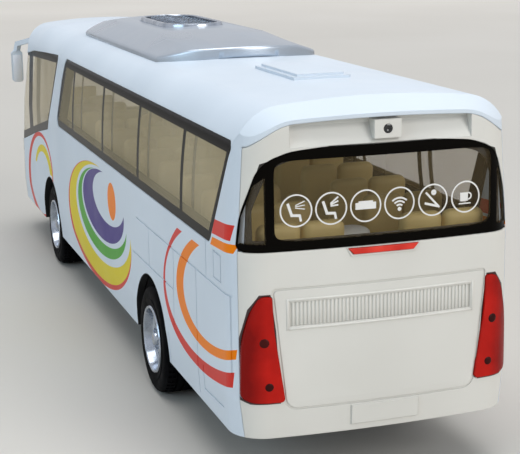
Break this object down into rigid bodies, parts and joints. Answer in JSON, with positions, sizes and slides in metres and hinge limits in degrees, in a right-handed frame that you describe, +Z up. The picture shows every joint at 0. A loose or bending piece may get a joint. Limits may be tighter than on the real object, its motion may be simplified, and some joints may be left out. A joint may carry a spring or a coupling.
{
  "type": "toy coach bus",
  "caption": "Die-cast toy touring coach that rolls on its axles, with tinted glazing over a seated interior, a roof pod and a moulded rear end.",
  "frame": {"origin": "on the ground under the middle of the coach's length and width", "axes": "+X towards the front of the coach, +Y to its left side, +Z up"},
  "size_m": [0.178, 0.042, 0.0533],
  "materials": {
    "body_paint": "gloss white enamel with printed arcs and blocks of colour",
    "white_plastic": "warm white moulded plastic",
    "tinted_glass": "smoky brown clear plastic with a dark printed border",
    "silver_plastic": "silver painted plastic",
    "chrome_plastic": "bright plated plastic",
    "red_lens": "glossy red lens plastic",
    "clear_lens": "clear lens over a bright reflector",
    "black_plastic": "fine grained black plastic",
    "tan_plastic": "tan moulded plastic",
    "dark_plastic": "dark grey plastic",
    "rubber": "soft black rubber",
    "steel": "plain drawn steel rod"
  },
  "bodies": {
    "body": {"body_shell": "body_paint", "rear_cap": "white_plastic", "front_cap": "white_plastic", "side_glazing_left": "tinted_glass", "side_glazing_right": "tinted_glass", "windscreen": "tinted_glass", "rear_window": "tinted_glass", "tail_lamp_left": "red_lens", "tail_lamp_right": "red_lens", "brake_lamp": "red_lens", "headlamp_left": "clear_lens", "headlamp_right": "clear_lens", "roof_pod": "silver_plastic", "pod_grille": "chrome_plastic", "mirror_left": "white_plastic", "mirror_right": "white_plastic", "chassis_base": "black_plastic", "interior": "tan_plastic", "dashboard": "dark_plastic", "driver_seat": "tan_plastic", "spring_motor": "dark_plastic"},
    "rear_wheels": {"rear_axle": "steel", "rear_tyre_left": "rubber", "rear_tyre_right": "rubber", "rear_hub_left": "chrome_plastic", "rear_hub_right": "chrome_plastic"},
    "front_wheels": {"front_axle": "steel", "front_tyre_left": "rubber", "front_tyre_right": "rubber", "front_hub_left": "chrome_plastic", "front_hub_right": "chrome_plastic"}
  },
  "joints": [
    {"name": "rear_axle_spin", "type": "hinge", "parent": "body", "child": "rear_wheels", "pos_m": [-0.04335, 0, 0.00835], "axis": [0, 1, 0], "continuous": true},
    {"name": "front_axle_spin", "type": "hinge", "parent": "body", "child": "front_wheels", "pos_m": [0.0442, 0, 0.00835], "axis": [0, 1, 0], "continuous": true}
  ]
}
